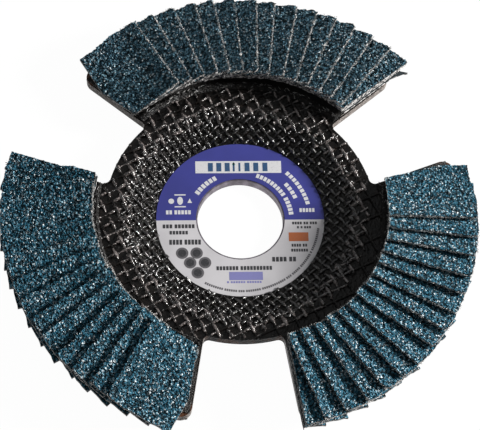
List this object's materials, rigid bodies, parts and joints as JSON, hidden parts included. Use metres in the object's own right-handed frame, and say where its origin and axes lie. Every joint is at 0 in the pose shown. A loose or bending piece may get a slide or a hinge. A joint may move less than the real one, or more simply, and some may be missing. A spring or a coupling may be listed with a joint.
{
  "type": "flap disc",
  "caption": "Abrasive flap disc for an angle grinder: pressed fibre plate with lobes and open viewing windows, each lobe carrying a shingled fan of cloth flaps.",
  "frame": {"origin": "on the bore axis, at the back face of the hub", "axes": "+Z along the bore axis to the abrasive side, +Y along the middle of the lobe that carries fan a; fans b and c follow at 120 and 240 degrees, anticlockwise seen from +Z"},
  "size_m": [0.1248, 0.1229, 0.0134],
  "materials": {
    "fibre_plate": "resin-bonded glass fibre, black, dull with glints on the mesh",
    "bush_steel": "plain rolled steel",
    "label_paper": "printed paper, blue upper half and pale grey lower half",
    "adhesive": "dark set resin",
    "abrasive_cloth": "blue-grey zirconia grain on polyester cloth"
  },
  "bodies": {
    "root": {"backing_plate": "fibre_plate", "bush": "bush_steel", "label": "label_paper", "adhesive_bed_a": "adhesive", "flap_a_01": "abrasive_cloth", "flap_a_02": "abrasive_cloth", "flap_a_03": "abrasive_cloth", "flap_a_04": "abrasive_cloth", "flap_a_05": "abrasive_cloth", "flap_a_06": "abrasive_cloth", "flap_a_07": "abrasive_cloth", "flap_a_08": "abrasive_cloth", "flap_a_09": "abrasive_cloth", "flap_a_10": "abrasive_cloth", "flap_a_11": "abrasive_cloth", "flap_a_12": "abrasive_cloth", "flap_a_13": "abrasive_cloth", "flap_a_14": "abrasive_cloth", "flap_a_15": "abrasive_cloth", "levelling_flap_a_1": "abrasive_cloth", "levelling_flap_a_2": "abrasive_cloth", "levelling_flap_a_3": "abrasive_cloth", "adhesive_bed_b": "adhesive", "flap_b_01": "abrasive_cloth", "flap_b_02": "abrasive_cloth", "flap_b_03": "abrasive_cloth", "flap_b_04": "abrasive_cloth", "flap_b_05": "abrasive_cloth", "flap_b_06": "abrasive_cloth", "flap_b_07": "abrasive_cloth", "flap_b_08": "abrasive_cloth", "flap_b_09": "abrasive_cloth", "flap_b_10": "abrasive_cloth", "flap_b_11": "abrasive_cloth", "flap_b_12": "abrasive_cloth", "flap_b_13": "abrasive_cloth", "flap_b_14": "abrasive_cloth", "flap_b_15": "abrasive_cloth", "levelling_flap_b_1": "abrasive_cloth", "levelling_flap_b_2": "abrasive_cloth", "levelling_flap_b_3": "abrasive_cloth", "adhesive_bed_c": "adhesive", "flap_c_01": "abrasive_cloth", "flap_c_02": "abrasive_cloth", "flap_c_03": "abrasive_cloth", "flap_c_04": "abrasive_cloth", "flap_c_05": "abrasive_cloth", "flap_c_06": "abrasive_cloth", "flap_c_07": "abrasive_cloth", "flap_c_08": "abrasive_cloth", "flap_c_09": "abrasive_cloth", "flap_c_10": "abrasive_cloth", "flap_c_11": "abrasive_cloth", "flap_c_12": "abrasive_cloth", "flap_c_13": "abrasive_cloth", "flap_c_14": "abrasive_cloth", "flap_c_15": "abrasive_cloth", "levelling_flap_c_1": "abrasive_cloth", "levelling_flap_c_2": "abrasive_cloth", "levelling_flap_c_3": "abrasive_cloth"}
  },
  "joints": []
}
